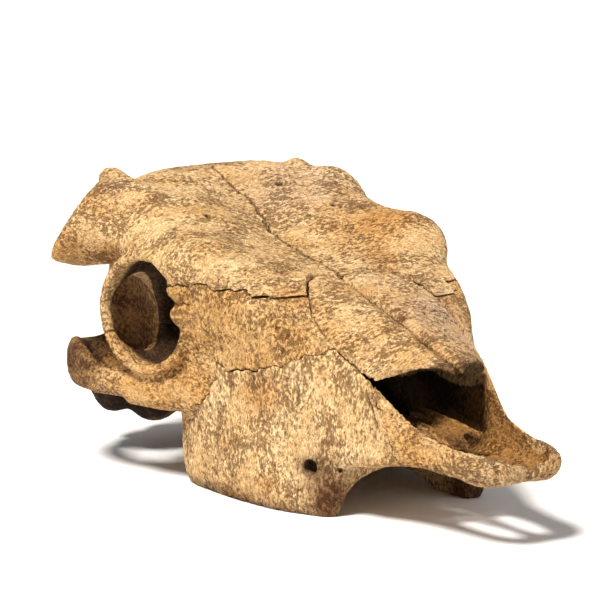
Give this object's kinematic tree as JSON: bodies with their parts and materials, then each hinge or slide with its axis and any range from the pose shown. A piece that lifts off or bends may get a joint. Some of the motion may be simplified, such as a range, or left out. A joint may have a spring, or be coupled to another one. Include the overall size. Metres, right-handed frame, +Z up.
{
  "type": "buffalo skull",
  "caption": "Life-size weathered skull of a bison with broken horn cores, resting on its tooth rows, for museum and nature displays.",
  "frame": {"origin": "middle of the skull's bounding box at floor height", "axes": "+Z up; the muzzle points along -Y, so +Y runs from the muzzle's tip to the back of the skull; +X is the animal's left"},
  "size_m": [0.258, 0.4442, 0.2067],
  "materials": {
    "roof_bone": "dry weathered bone, porous and matte, with brown stain in its pits",
    "horn_bone": "dry weathered bone, porous and matte, with brown stain in its pits",
    "nasal_bone": "dry weathered bone, porous and matte, with brown stain in its pits",
    "cheek_bone": "dry weathered bone, porous and matte, with brown stain in its pits",
    "muzzle_bone": "dry weathered bone, porous and matte, with brown stain in its pits",
    "arch_bone": "dry weathered bone, porous and matte, with brown stain in its pits",
    "base_bone": "dry weathered bone, porous and matte, with brown stain in its pits",
    "inner_bone": "dry weathered bone, porous and matte, with brown stain in its pits"
  },
  "bodies": {
    "root": {"braincase": "base_bone", "frontal_left": "roof_bone", "frontal_right": "roof_bone", "horn_core_left": "horn_bone", "horn_core_right": "horn_bone", "lacrimal_left": "cheek_bone", "lacrimal_right": "cheek_bone", "maxilla_left": "cheek_bone", "maxilla_right": "cheek_bone", "nasal_left": "nasal_bone", "nasal_right": "nasal_bone", "palatine_left": "base_bone", "palatine_right": "base_bone", "premaxilla_left": "muzzle_bone", "premaxilla_right": "muzzle_bone", "vomer": "inner_bone", "zygomatic_left": "arch_bone", "zygomatic_right": "arch_bone"}
  },
  "joints": []
}
